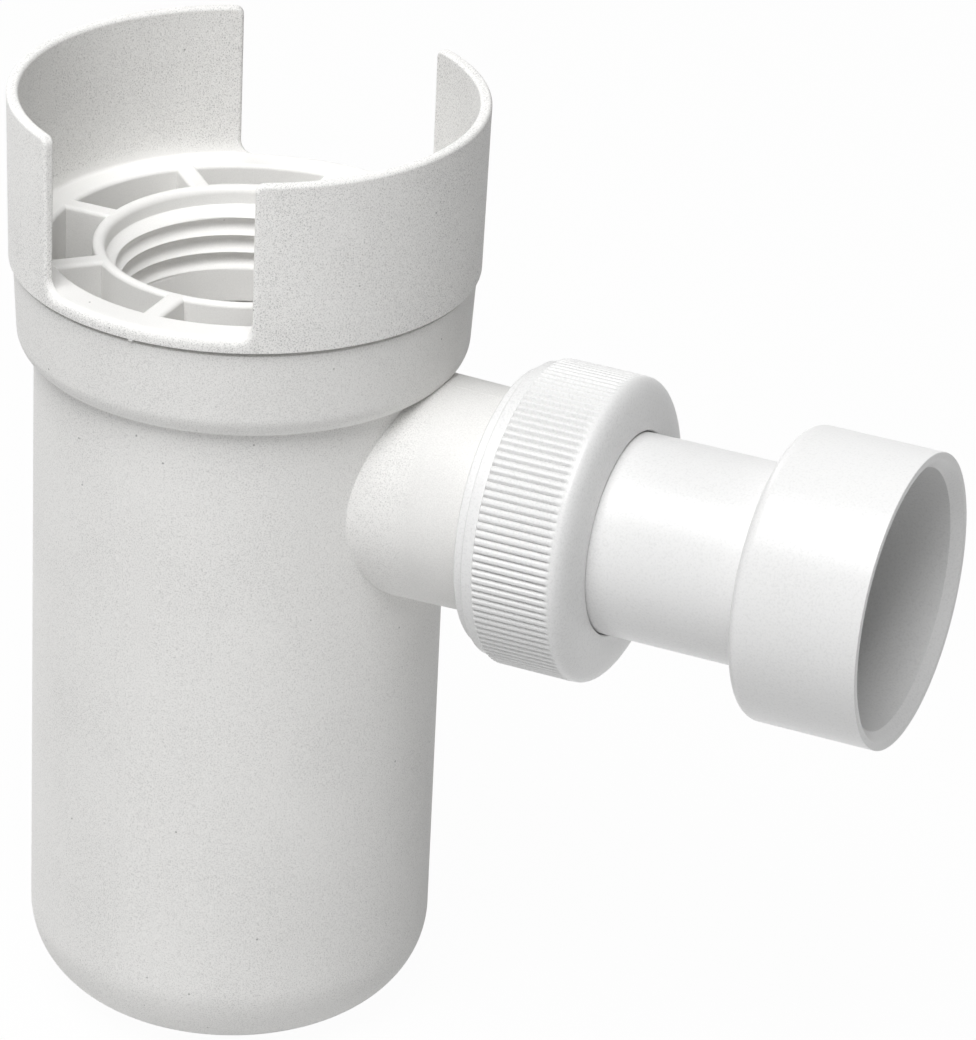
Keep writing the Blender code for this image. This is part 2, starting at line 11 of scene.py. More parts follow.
# %% Load the measured solids
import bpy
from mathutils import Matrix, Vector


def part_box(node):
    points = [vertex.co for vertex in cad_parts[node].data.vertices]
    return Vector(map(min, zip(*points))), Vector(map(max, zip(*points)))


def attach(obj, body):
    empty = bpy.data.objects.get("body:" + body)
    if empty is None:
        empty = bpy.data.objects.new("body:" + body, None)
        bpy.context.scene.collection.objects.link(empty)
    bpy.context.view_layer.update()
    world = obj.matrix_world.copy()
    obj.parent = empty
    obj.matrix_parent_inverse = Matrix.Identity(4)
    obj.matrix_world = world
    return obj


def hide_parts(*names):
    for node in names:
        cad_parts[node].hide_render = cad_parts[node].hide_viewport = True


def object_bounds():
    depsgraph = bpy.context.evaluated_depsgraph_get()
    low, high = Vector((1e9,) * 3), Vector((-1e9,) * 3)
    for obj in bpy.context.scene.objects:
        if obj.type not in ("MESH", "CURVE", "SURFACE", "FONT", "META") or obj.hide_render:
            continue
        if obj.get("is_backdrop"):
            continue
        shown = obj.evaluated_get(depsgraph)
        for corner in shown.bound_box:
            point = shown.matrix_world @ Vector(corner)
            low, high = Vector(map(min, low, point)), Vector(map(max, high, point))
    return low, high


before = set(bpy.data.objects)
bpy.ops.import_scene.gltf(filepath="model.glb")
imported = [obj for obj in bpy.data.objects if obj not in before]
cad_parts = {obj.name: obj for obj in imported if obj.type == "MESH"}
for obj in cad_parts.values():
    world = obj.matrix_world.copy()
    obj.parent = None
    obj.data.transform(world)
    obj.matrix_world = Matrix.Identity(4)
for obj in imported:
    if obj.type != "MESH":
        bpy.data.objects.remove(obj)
solid_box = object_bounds()
print("nodes:", sorted(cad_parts))
print("box in mm:", [[round(v * 1000, 2) for v in corner] for corner in solid_box])

# %% [markdown]
# ## Measuring
#
# A size that is written twice can drift apart. So the sizes that the solids can tell are read from them, in
# millimetres, and the others get a name below, next to the piece that they belong to. Height 0 is the rim
# of the threaded hub, which is level with the ledge inside the wings.

# %% Read the main sizes from the solids
import math

import bmesh
import bpy
from mathutils import Matrix, Vector

MM = 0.001
TURN = 2.0 * math.pi


def reach(node):
    """The node's lowest and highest corners in millimetres."""
    low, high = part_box(node)
    return [v / MM for v in low], [v / MM for v in high]


crown_low, crown_high = reach("inlet_crown")
cup_low, cup_high = reach("trap_body")
nut_low, nut_high = reach("union_nut")
tail_low, tail_high = reach("tail_pipe")
dip_low, dip_high = reach("dip_tube")
seal_low, seal_high = reach("insert_seal")
gasket_low, gasket_high = reach("outlet_gasket")

LEDGE = 0.0
OUTLET_HEIGHT = (nut_low[2] + nut_high[2]) / 2.0
print("outlet's axis is", round(OUTLET_HEIGHT, 2), "mm from the ledge")

# %% [markdown]
# ## Turning a profile
#
# Nearly every surface of this object is round about one of two axes. Blender's Spin and Screw tools turn
# one flat profile. Here the profile may change as it goes round, because threads and ridges need that, so a
# small function of our own lays down one column of points for each angle and joins it to the next. The last
# column falls on the first one, and points that coincide are merged.

# %% Helper: turn a profile, which may change with the angle
FINE = 216
SAME = 0.0004


def arc(centre_r, centre_h, radius, start, end, steps=8, radius_h=None):
    """Points of an arc in a profile. Angles are in degrees, from outwards towards up."""
    tall = radius if radius_h is None else radius_h
    points = []
    for i in range(steps + 1):
        a = math.radians(start + (end - start) * i / steps)
        points.append((centre_r + radius * math.cos(a), centre_h + tall * math.sin(a)))
    return points


def new_object(name, bm):
    """Cleans a mesh that was drawn in millimetres and makes it an object in metres."""
    bmesh.ops.remove_doubles(bm, verts=bm.verts, dist=SAME)
    bmesh.ops.dissolve_degenerate(bm, edges=bm.edges, dist=SAME)
    bmesh.ops.recalc_face_normals(bm, faces=bm.faces)
    if bm.calc_volume(signed=True) < 0.0:
        bmesh.ops.reverse_faces(bm, faces=bm.faces)
    bmesh.ops.scale(bm, verts=bm.verts, vec=(MM, MM, MM))
    mesh = bpy.data.meshes.new(name)
    bm.to_mesh(mesh)
    bm.free()
    obj = bpy.data.objects.new(name, mesh)
    bpy.context.scene.collection.objects.link(obj)
    return obj


def skin(name, columns):
    """A closed solid from closed columns of points, each joined to the next. The last falls on the first."""
    bm = bmesh.new()
    drawn = [[bm.verts.new(point) for point in column] for column in columns]
    for here, there in zip(drawn, drawn[1:]):
        for k in range(len(here)):
            n = (k + 1) % len(here)
            bm.faces.new((here[k], here[n], there[n], there[k]))
    return new_object(name, bm)


def turn(name, profile_at, sides=FINE):
    """A closed solid round Z. profile_at(angle) gives the (radius, height) points of the closed profile."""
    angles = [TURN * i / sides for i in range(sides + 1)]
    return skin(name, [[(r * math.cos(a), r * math.sin(a), h) for r, h in profile_at(a)] for a in angles])


# %% [markdown]
# The outlet's pieces are turned about Z too, and then laid over so that their axis runs along X at the
# outlet's height. The turn moves Z to X, X to Y and Y to Z, which keeps a right-hand thread right-handed.

# %% Helper: lay a turned piece along the outlet
LAID_OVER = Matrix(((0, 0, 1, 0), (1, 0, 0, 0), (0, 1, 0, OUTLET_HEIGHT * MM), (0, 0, 0, 1)))


def lay_along_outlet(obj):
    obj.data.transform(LAID_OVER)
    return obj


# %% [markdown]
# ## Cutting and joining
#
# Mouldings like these are drawn as simple solids that are joined and cut: the exact Boolean does that on
# any closed mesh. It is applied at once, so that the next cut works on a plain mesh again.

# %% Helper: join or cut two solids
def combine(obj, other, operation):
    modifier = obj.modifiers.new(operation, "BOOLEAN")
    modifier.operation = operation
    modifier.solver = "EXACT"
    modifier.object = other
    bpy.context.view_layer.update()
    shaped = obj.evaluated_get(bpy.context.evaluated_depsgraph_get())
    mesh = bpy.data.meshes.new_from_object(shaped)
    obj.modifiers.clear()
    obj.data = mesh
    bpy.data.objects.remove(other)
    bm = bmesh.new()
    bm.from_mesh(mesh)
    bmesh.ops.remove_doubles(bm, verts=bm.verts, dist=SAME * MM)
    bmesh.ops.dissolve_degenerate(bm, edges=bm.edges, dist=SAME * MM)
    bm.to_mesh(mesh)
    bm.free()
    return obj


def bar(bm, outline, place, low, high):
    """Adds a straight bar: the outline's points, placed at low and at high."""
    front = [bm.verts.new(place(u, v, low)) for u, v in outline]
    back = [bm.verts.new(place(u, v, high)) for u, v in outline]
    bm.faces.new(front)
    bm.faces.new(list(reversed(back)))
    for k in range(len(outline)):
        n = (k + 1) % len(outline)
        bm.faces.new((front[k], back[k], back[n], front[n]))


# %% [markdown]
# ## A pipe thread
#
# The hub and the union carry the old inch pipe thread: 2.309 mm from crest to crest, flanks 55 degrees apart.
# The roots are round, and on this moulding the crests are narrow. Half a sine wave of that pitch and depth
# has nearly the same flanks, a round root and a crisp crest, so it takes the place of six arcs and lines.
# Each row of points follows the helix, and one row lies on the crest. At its ends the thread fades into the
# plain wall, or runs out in a chamfer.

# %% Helper: the wall of a thread at one angle
PITCH = 2.309
ROWS = 12
CREST_AT = 1.0 / ROWS
THREAD_FADE = 0.45 * PITCH
THREAD_CHAMFER = 1.3


def thread_wall(angle, low, high, base_r, cut_r, start=0.0, low_r=None, high_r=None):
    """Points down a threaded wall from height high to height low, at one angle round it."""
    first = math.floor((high - start) / PITCH) + 2
    last = math.floor((low - start) / PITCH) - 2
    points = []
    for pitch in range(first, last, -1):
        for row in range(ROWS):
            share = row / ROWS
            height = start + PITCH * (angle / TURN + pitch - share)
            height = min(high, max(low, height))
            radius = base_r + (cut_r - base_r) * abs(math.sin(math.pi * (share - CREST_AT)))
            for inside, end_r in ((height - low, low_r), (high - height, high_r)):
                if end_r is None:
                    radius = base_r + (radius - base_r) * min(1.0, max(0.0, inside / THREAD_FADE))
                else:
                    cone = end_r + (base_r - end_r) * min(1.0, max(0.0, inside / THREAD_CHAMFER))
                    radius = max(radius, cone)
            points.append((radius, height))
    return points


# %% [markdown]
# ## The crown
#
# The crown is the piece that makes this a tundish: an open ring with two curved wings, so that anyone can
# see whether the valve drips, and a threaded hub in the middle that is held by eight fins. It is one
# moulding. The gaps between the wings could be cut from a turned ring, but the cuts would leave hard
# corners, to be rounded one by one. So the ring's skyline is drawn first, unrolled to a flat line: the bare
# ledge, the foot's hollow round, the wing's end, its top corner and its top. The mould has the same quarter
# four times, so one is enough.

# %% Crown: draw the skyline of the ring
WING_OUTER = crown_high[0]
WING_TOP = crown_high[2]
WING_WALL = 1.45
WING_INNER = WING_OUTER - WING_WALL
WING_MIDDLE = WING_OUTER - WING_WALL / 2.0
SLOT_HALF = 13.6
WING_FOOT = 1.8
WING_CORNER = 1.1
QUARTER = WING_MIDDLE * TURN / 4.0
RIGHT_ANGLE = TURN / 4.0
LEDGE_STEPS = 16
FOOT_STEPS = 10
ROUND_STEPS = 8
TOP_STEPS = 38


def quarter_circle(steps):
    """The angles of a quarter circle, from 0 to a right angle."""
    return [RIGHT_ANGLE * i / steps for i in range(steps + 1)]


def skyline_quarter():
    """Points from the ledge's middle to the wing's middle.

    Each has its distance along the skyline, its height, the way inwards as a part along the skyline
    and a part up, and the angle that the foot has turned there.
    """
    end = WING_MIDDLE * math.asin(SLOT_HALF / WING_MIDDLE)
    line = [((end - WING_FOOT) * i / LEDGE_STEPS, LEDGE, 0.0, -1.0, 0.0) for i in range(LEDGE_STEPS)]
    for a in quarter_circle(FOOT_STEPS):
        s, c = math.sin(a), math.cos(a)
        line.append((end - WING_FOOT + WING_FOOT * s, LEDGE + WING_FOOT * (1.0 - c), s, -c, a))
    for a in quarter_circle(ROUND_STEPS):
        s, c = math.sin(a), math.cos(a)
        height = WING_TOP - WING_CORNER * (1.0 - s)
        line.append((end + WING_CORNER * (1.0 - c), height, c, -s, RIGHT_ANGLE))
    top = end + WING_CORNER
    for i in range(1, TOP_STEPS + 1):
        line.append((top + (QUARTER - top) * i / TOP_STEPS, WING_TOP, 0.0, -1.0, RIGHT_ANGLE))
    return line


quarter = skyline_quarter()
mirrored = [(2.0 * QUARTER - s, z, -along, up, foot) for s, z, along, up, foot in quarter[-2:0:-1]]
one_half = quarter + mirrored
skyline = one_half + [(s + 2.0 * QUARTER, *rest) for s, *rest in one_half]
skyline.append((skyline[0][0] + 4.0 * QUARTER, *skyline[0][1:]))
print("skyline:", len(skyline), "points,", round(4.0 * QUARTER, 1), "mm round")

# %% [markdown]
# Now a column of points hangs from each point of the skyline: up the underside, out over the skirt, round
# the outer edge, across the wall, round the inner edge and down to the ledge. Both edges are rounded square
# to the skyline, so the rounding runs on without a break from the ledge up the wing's end and along its
# top. On the bare ledge the outer round is larger and the inner wall has no height, so its points merge.

# %% Crown: draw the ring's underside and its outer wall
WING_LEAN = 0.352
WING_RIM = 0.45
LEDGE_ROUND = 1.1
SKIRT_OUTER = WING_OUTER - WING_LEAN
SKIRT_DEPTH = 1.75
SKIRT_EDGE = 0.1
SPIGOT_OUTER = 26.25
SPIGOT_DEPTH = 8.0
SPIGOT_WALL = 1.95
SPIGOT_INNER = SPIGOT_OUTER - SPIGOT_WALL
SPIGOT_EDGE = 0.4
BEAD_DEPTH = 5.9
BEAD_HEIGHT = 0.6
BEAD_HALF = 0.75
BEAD_FLAT_LOW = 0.375
BEAD_FLAT_HIGH = 0.25
GRILLE_DEPTH = 7.0
HUB_OUTER = 18.7
HUB_DRAFT = 0.1
HUB_FOOT = 18.5
HUB_FOOT_EDGE = 0.3
HUB_LIP = 16.3
HUB_LIP_DEPTH = 2.8
HUB_LIP_END = crown_low[2] - HUB_LIP_DEPTH
HUB_LIP_EDGE = 0.2


def underside():
    """(radius, height) from the axis out to the top of the skirt's edge."""
    seam = LEDGE - SKIRT_DEPTH
    bead = LEDGE - BEAD_DEPTH
    bead_outer = SPIGOT_OUTER + BEAD_HEIGHT
    grille = LEDGE - GRILLE_DEPTH
    end = LEDGE - SPIGOT_DEPTH
    points = [(0.0, HUB_LIP_END), (HUB_LIP - HUB_LIP_EDGE, HUB_LIP_END)]
    points += [(HUB_LIP, HUB_LIP_END + HUB_LIP_EDGE)]
    points += [(HUB_FOOT - HUB_FOOT_EDGE, crown_low[2]), (HUB_FOOT, crown_low[2] + HUB_FOOT_EDGE)]
    points += [(HUB_OUTER - HUB_DRAFT, grille), (SPIGOT_INNER, grille), (SPIGOT_INNER, end)]
    points += arc(SPIGOT_OUTER - SPIGOT_EDGE, end + SPIGOT_EDGE, SPIGOT_EDGE, -90, 0, 5)
    points += [(SPIGOT_OUTER, bead - BEAD_HALF), (bead_outer, bead - BEAD_FLAT_LOW)]
    points += [(bead_outer, bead + BEAD_FLAT_HIGH), (SPIGOT_OUTER, bead + BEAD_HALF), (SPIGOT_OUTER, seam)]
    return points + arc(SKIRT_OUTER - SKIRT_EDGE, seam + SKIRT_EDGE, SKIRT_EDGE, -90, 0, 5)


def wall_radius(height):
    """The wings' outside leans out a little towards the top, so that they leave the mould."""
    foot = LEDGE - SKIRT_DEPTH + SKIRT_EDGE
    share = (height - foot) / (WING_TOP - WING_RIM - foot)
    return min(WING_OUTER, SKIRT_OUTER + (WING_OUTER - SKIRT_OUTER) * share)


print("wall's radius at the ledge and at the top:", wall_radius(LEDGE), wall_radius(WING_TOP))

# %% [markdown]
# Where the skyline runs level, the two rounds stand upright, and at the wing's end they lie on their side.
# One function gives both: each point goes inwards from the skyline by its inset. In the foot the rounds
# change from the ledge's size to the wing's.

# %% Crown: hang the ring's sections from the skyline
FOOT_FILLET = 0.5


def ring_section(distance, height, along, up, foot):
    """The points of one column. A point with inset i lies that far inside the skyline."""
    rise = 1.0 - math.cos(foot)
    outer = WING_RIM + (LEDGE_ROUND - WING_RIM) * math.cos(foot) ** 2
    inner = WING_RIM * rise
    fillet = FOOT_FILLET * rise
    level = LEDGE + WING_FOOT
    section = [(distance + along * outer, r, h) for r, h in underside()]
    low = min(level, height + up * outer)
    section.append((distance + along * outer, wall_radius(low), low))
    for a in quarter_circle(ROUND_STEPS):
        inset = outer * (1.0 - math.sin(a))
        h = height + up * inset
        section.append((distance + along * inset, wall_radius(h) - outer * (1.0 - math.cos(a)), h))
    for a in reversed(quarter_circle(ROUND_STEPS)):
        inset = inner * (1.0 - math.sin(a))
        r = WING_INNER + inner * (1.0 - math.cos(a))
        section.append((distance + along * inset, r, height + up * inset))
    section.append((distance + along * inner, WING_INNER, min(level, height + up * inner)))
    hollow = arc(WING_INNER - fillet, LEDGE + fillet, fillet, 0, -90, 6)
    section += [(distance + along * inner, r, h) for r, h in hollow + [(0.0, LEDGE)]]
    angles = [s / WING_MIDDLE - TURN / 4.0 for s, r, h in section]
    return [(r * math.cos(a), r * math.sin(a), h) for a, (s, r, h) in zip(angles, section)]


crown = skin("crown_moulding", [ring_section(*point) for point in skyline])
print("crown's solid:", len(crown.data.polygons), "faces")

# %% [markdown]
# A small pip stands on the skirt's edge at the front and nearly closes the seam. The mould leaves such a
# mark. It could be sculpted, but a short bar that is joined to the skirt has the same small square form.

# %% Crown: add the pip in the seam
PIP_WIDTH = 0.6
PIP_DEPTH = 0.22
PIP_ROOT = 0.3
PIP_START = SPIGOT_OUTER + 1.0
PIP_END = SKIRT_OUTER - 0.05
PIP_AT = math.radians(-91.0)


def in_the_seam(across, up, r):
    x = r * math.cos(PIP_AT) - across * math.sin(PIP_AT)
    y = r * math.sin(PIP_AT) + across * math.cos(PIP_AT)
    return (x, y, LEDGE - SKIRT_DEPTH + up)


edge = PIP_WIDTH / 2.0
pip_outline = [(-edge, -PIP_DEPTH), (edge, -PIP_DEPTH), (edge, PIP_ROOT), (-edge, PIP_ROOT)]
bm = bmesh.new()
bar(bm, pip_outline, in_the_seam, PIP_START, PIP_END)
combine(crown, new_object("pip", bm), "UNION")
print("with its pip:", len(crown.data.polygons), "faces")

# %% [markdown]
# Each window is the room between the hub, the ring and two fins. The fins have parallel sides, so a window
# is not a plain slice of a ring: its ends run along the fins. The cutter's outline grows near the top by
# the height of a quarter circle, which rounds the upper edge all the way round in the same cut.

# %% Crown: cut the eight windows
FINS = 8
FIN_WIDTH = 2.5
WINDOW_ROUND = 0.55
WINDOW_STEPS = 28
CUT_ABOVE = 1.0
CUT_BELOW = 0.5


def window_outline(first, grow):
    """Points round one window at the fin angle first, with every side moved out by grow."""
    fin_half = FIN_WIDTH / 2.0 - grow
    points = []
    for radius, order in ((HUB_OUTER - grow, 1), (SPIGOT_INNER + grow, -1)):
        low = first + math.asin(fin_half / radius)
        high = first + TURN / FINS - math.asin(fin_half / radius)
        sweep = [low + (high - low) * i / WINDOW_STEPS for i in range(WINDOW_STEPS + 1)]
        points += [(radius * math.cos(a), radius * math.sin(a)) for a in sweep[::order]]
    return points


layers = [(LEDGE + CUT_ABOVE, WINDOW_ROUND)]
for a in quarter_circle(ROUND_STEPS):
    layers.append((LEDGE - WINDOW_ROUND * (1.0 - math.cos(a)), WINDOW_ROUND * (1.0 - math.sin(a))))
layers.append((LEDGE - GRILLE_DEPTH - CUT_BELOW, 0.0))
bm = bmesh.new()
for i in range(FINS):
    loops = []
    for height, grow in layers:
        loops.append([bm.verts.new((x, y, height)) for x, y in window_outline(TURN * i / FINS, grow)])
    for upper, lower in zip(loops, loops[1:]):
        for k in range(len(upper)):
            n = (k + 1) % len(upper)
            bm.faces.new((upper[k], upper[n], lower[n], lower[k]))
    bm.faces.new(loops[0])
    bm.faces.new(loops[-1])
combine(crown, new_object("windows", bm), "DIFFERENCE")
print("after the windows:", len(crown.data.polygons), "faces")

# %% [markdown]
# The hub's inside is cut last, with a threaded rod. The rod has the plain seat at the top, where the
# valve's shoulder goes, then the chamfer, the thread, and the plain bore below. The rod's flare rounds the
# hub's rim.

# %% Crown: cut the seat and the thread in the hub
PAST = 2.0
HUB_BORE = 15.25
HUB_ROOT = 16.3
HUB_SEAT = 17.1
HUB_SEAT_DEPTH = 2.2
HUB_THREAD = 8.3
HUB_THREAD_START = 3.96
HUB_RIM_ROUND = 0.9


def rod_profile(angle):
    thread_high = LEDGE - HUB_SEAT_DEPTH
    thread_low = thread_high - HUB_THREAD
    start = LEDGE - HUB_THREAD_START
    flare = HUB_SEAT + HUB_RIM_ROUND
    lip = HUB_BORE + HUB_LIP_EDGE
    points = [(0.0, LEDGE + PAST), (flare, LEDGE + PAST)]
    points += arc(flare, LEDGE - HUB_RIM_ROUND, HUB_RIM_ROUND, 90, 180)
    points += [(HUB_SEAT, thread_high)]
    points += thread_wall(angle, thread_low, thread_high, HUB_BORE, HUB_ROOT, start, high_r=HUB_SEAT)
    points += [(HUB_BORE, HUB_LIP_END + HUB_LIP_EDGE), (lip, HUB_LIP_END), (lip, HUB_LIP_END - PAST)]
    return points + [(0.0, HUB_LIP_END - PAST)]


combine(crown, turn("rod", rod_profile), "DIFFERENCE")
print("crown:", len(crown.data.polygons), "faces")

# %% [markdown]
# ## The cup
#
# The cup holds the water seal. Its foot is a wide round that runs into a small flat, its wall has a little
# draft, and the collar above swells out over a round step to take the crown's spigot. The branch leaves it
# with a sharp saddle, as two cores that meet leave it, so the two turned solids are joined with no fillet
# at all.

# %% Cup: turn the outside with its collar
CUP_TOP = cup_high[2]
CUP_BASE = cup_low[2]
CUP_OUTER = 25.7
CUP_LOW_OUTER = 25.55
CUP_ROUND = 10.7
CUP_WALL = 2.0
COLLAR_OUTER = -cup_low[0]
COLLAR_LOW_OUTER = 27.85
COLLAR_ROUND = 3.2
COLLAR_HEIGHT = 11.95
COLLAR_EDGE = 0.12
SEAM_STEP = 0.3
SEAM_INNER = 27.55


def cup_outside(angle):
    turn_in = math.degrees(math.acos(1.0 - (COLLAR_LOW_OUTER - CUP_OUTER) / COLLAR_ROUND))
    collar_low = CUP_TOP - COLLAR_HEIGHT + COLLAR_ROUND
    step = CUP_TOP - SEAM_STEP
    points = [(0.0, CUP_BASE)]
    points += arc(CUP_LOW_OUTER - CUP_ROUND, CUP_BASE + CUP_ROUND, CUP_ROUND, -90, 0, 28)
    points += arc(COLLAR_LOW_OUTER - COLLAR_ROUND, collar_low, COLLAR_ROUND, -turn_in, 0, 16)
    points += arc(COLLAR_OUTER - COLLAR_EDGE, step - COLLAR_EDGE, COLLAR_EDGE, 0, 90, 5)
    return points + [(SEAM_INNER, step), (SEAM_INNER, CUP_TOP), (0.0, CUP_TOP)]


cup = turn("cup_moulding", cup_outside)
print("cup's solid:", len(cup.data.polygons), "faces")

# %% [markdown]
# The branch is turned from the cup's axis out, with its flare and its male thread, and laid over.

# %% Cup: join the branch with its thread
BRANCH_ROOT = CUP_OUTER - CUP_WALL
BRANCH_OUTER = 14.15
BRANCH_END_OUTER = 13.9
BRANCH_BORE = 12.0
BRANCH_LEAD = 0.4
FLARE_START = 35.7
FLARE_END = 37.65
FLARE_FOOT = (0.12, 0.6)
FLARE_EDGE = (0.15, 0.25)
UNION_MINOR = 15.05
UNION_MAJOR = 16.45
UNION_THREAD = 38.0
UNION_THREAD_END = 45.4
BRANCH_END = cup_high[0]


def branch_outside(angle):
    points = [(UNION_MINOR - BRANCH_LEAD, BRANCH_END), (0.0, BRANCH_END), (0.0, 0.0), (BRANCH_OUTER, 0.0)]
    points += [(BRANCH_OUTER, BRANCH_ROOT), (BRANCH_END_OUTER, FLARE_START)]
    points += [(BRANCH_END_OUTER + FLARE_FOOT[0], FLARE_START + FLARE_FOOT[1])]
    points += [(UNION_MINOR - FLARE_EDGE[0], FLARE_END - FLARE_EDGE[1]), (UNION_MINOR, FLARE_END)]
    wall = thread_wall(angle, UNION_THREAD, UNION_THREAD_END, UNION_MINOR, UNION_MAJOR)
    return points + wall[::-1]


combine(cup, lay_along_outlet(turn("branch", branch_outside)), "UNION")
print("cup with its branch:", len(cup.data.polygons), "faces")

# %% [markdown]
# A fine parting line runs along the top of the branch, where the mould's halves met. It could be left to a
# bump, but a real edge catches the light from every side. It is a low strip that follows the branch's
# taper.

# %% Cup: join the parting line
PARTING_WIDTH = 0.25
PARTING_HEIGHT = 0.05
PARTING_EDGE = 0.03
PARTING_SINK = 0.4
PARTING_START = 24.0
PARTING_END = 36.0
TAPER_END = 36.2


def along_branch(y, up, x):
    taper = (BRANCH_OUTER - BRANCH_END_OUTER) * (x - BRANCH_ROOT) / (TAPER_END - BRANCH_ROOT)
    return (x, y, OUTLET_HEIGHT + BRANCH_OUTER - taper + up)


edge = PARTING_WIDTH / 2.0
parting_outline = [(-edge, -PARTING_SINK), (edge, -PARTING_SINK), (edge, PARTING_HEIGHT - PARTING_EDGE)]
parting_outline += [(edge * 0.5, PARTING_HEIGHT), (-edge * 0.5, PARTING_HEIGHT)]
parting_outline += [(-edge, PARTING_HEIGHT - PARTING_EDGE)]
bm = bmesh.new()
bar(bm, parting_outline, along_branch, PARTING_START, PARTING_END)
combine(cup, new_object("parting", bm), "UNION")
print("with its parting line:", len(cup.data.polygons), "faces")

# %% [markdown]
# The hollow is cut in two goes: the inside of the cup with the seat for the funnel and the groove that the
# crown's bead snaps into, and then the bore of the branch.

# %% Cup: hollow the cup and the branch
COLLAR_BORE = 26.6
COLLAR_LEAD = 0.5
SEAT = CUP_TOP - 9.25
GROOVE = CUP_TOP - 3.9
GROOVE_DEPTH = 0.6
GROOVE_HALF = 1.5
GROOVE_FLAT = 0.9


def cup_inside(angle):
    inner_round = CUP_ROUND - CUP_WALL
    inner = CUP_LOW_OUTER - CUP_WALL
    groove_r = COLLAR_BORE + GROOVE_DEPTH
    lead_r = COLLAR_BORE + COLLAR_LEAD
    points = [(0.0, CUP_BASE + CUP_WALL)]
    points += arc(inner - inner_round, CUP_BASE + CUP_WALL + inner_round, inner_round, -90, 0, 20)
    points += [(CUP_OUTER - CUP_WALL, SEAT), (COLLAR_BORE, SEAT), (COLLAR_BORE, GROOVE - GROOVE_HALF)]
    points += [(groove_r, GROOVE - GROOVE_FLAT), (groove_r, GROOVE + GROOVE_FLAT)]
    points += [(COLLAR_BORE, GROOVE + GROOVE_HALF), (COLLAR_BORE, CUP_TOP - COLLAR_LEAD)]
    return points + [(lead_r, CUP_TOP), (lead_r, CUP_TOP + PAST), (0.0, CUP_TOP + PAST)]


def branch_inside(angle):
    return [(0.0, 0.0), (BRANCH_BORE, 0.0), (BRANCH_BORE, BRANCH_END + PAST), (0.0, BRANCH_END + PAST)]


combine(cup, turn("hollow", cup_inside), "DIFFERENCE")
combine(cup, lay_along_outlet(turn("bore", branch_inside)), "DIFFERENCE")
print("cup:", len(cup.data.polygons), "faces")

# %% [markdown]
# ## The union nut
#
# The nut draws the tail pipe onto the branch. It is gripped by hand, so most of its length carries fine
# straight ridges. They could be an array of small bars, but on the moulding they are one wavy skin. So the
# profile's radius along the band follows a wave of the angle, six columns to a ridge, and the rest of the
# nut is plain.

# %% Nut: turn the outside with its ridges
RIDGES = 120
RIDGE_COLUMNS = 6
RIDGE_TOP = nut_high[1]
RIDGE_HEIGHT = 0.45
RIDGE_FULLNESS = 1.6
RIDGE_FADE = 0.9
RIDGE_FADE_STEPS = 6
NUT_START = nut_low[0]
NUT_END = nut_high[0]
NUT_EDGE = 0.15
NUT_RIM = 17.3
NUT_RIM_END = 38.6
NUT_STEP = 18.3
NUT_STEP_EDGE = 0.12
BAND_START = 40.2
BAND_END = 50.4
NUT_ROOT = 18.5
ROOT_SLOPE = 0.1
ROOT_FLAT = (0.02, 0.1)
RIDGE_FACE = (0.1, 0.12)
RIDGE_FULL = 0.25
SHOULDER_DROP = 0.05
SHOULDER_TOP = RIDGE_TOP - SHOULDER_DROP
NUT_FACE = 13.95


def nut_outside(angle):
    wave = abs(math.cos(angle * RIDGES / 2.0))
    ridge = RIDGE_TOP - RIDGE_HEIGHT + RIDGE_HEIGHT * (1.0 - (1.0 - wave) ** RIDGE_FULLNESS)
    points = [(0.0, NUT_START), (NUT_RIM - NUT_EDGE, NUT_START), (NUT_RIM, NUT_START + NUT_EDGE)]
    points += [(NUT_RIM, NUT_RIM_END), (NUT_STEP - NUT_STEP_EDGE, NUT_RIM_END)]
    points += [(NUT_STEP, NUT_RIM_END + NUT_STEP_EDGE), (NUT_STEP, BAND_START - ROOT_SLOPE)]
    points += [(NUT_ROOT, BAND_START), (NUT_ROOT + ROOT_FLAT[0], BAND_START + ROOT_FLAT[1])]
    points += [(ridge - RIDGE_FACE[0], BAND_START + RIDGE_FACE[1]), (ridge, BAND_START + RIDGE_FULL)]
    for i in range(RIDGE_FADE_STEPS + 1):
        kept = 0.5 + 0.5 * math.cos(math.pi * i / RIDGE_FADE_STEPS)
        x = BAND_END - RIDGE_FADE + RIDGE_FADE * i / RIDGE_FADE_STEPS
        points.append((SHOULDER_TOP + (ridge - SHOULDER_TOP) * kept, x))
    points += arc(NUT_FACE, BAND_END, SHOULDER_TOP - NUT_FACE, 0, 90, 14, NUT_END - BAND_END)[1:]
    return points + [(0.0, NUT_END)]


nut = lay_along_outlet(turn("nut_moulding", nut_outside, RIDGES * RIDGE_COLUMNS))
print("nut's solid:", len(nut.data.polygons), "faces,", RIDGES, "ridges")

# %% [markdown]
# Inside, the nut has the female thread that the branch's thread turns in, and a seat that holds the tail
# pipe's flange. Both come from one rod again.

# %% Nut: cut the thread, the seat and the hole for the tube
NUT_END_WALL = 2.25
NUT_SEAT = NUT_END - NUT_END_WALL
NUT_HOLE = 12.65
NUT_CLEAR = 0.3
NUT_LEAD = 0.15
NUT_LEAD_LENGTH = 0.3
NUT_ENTRY = UNION_MAJOR + NUT_CLEAR + NUT_LEAD


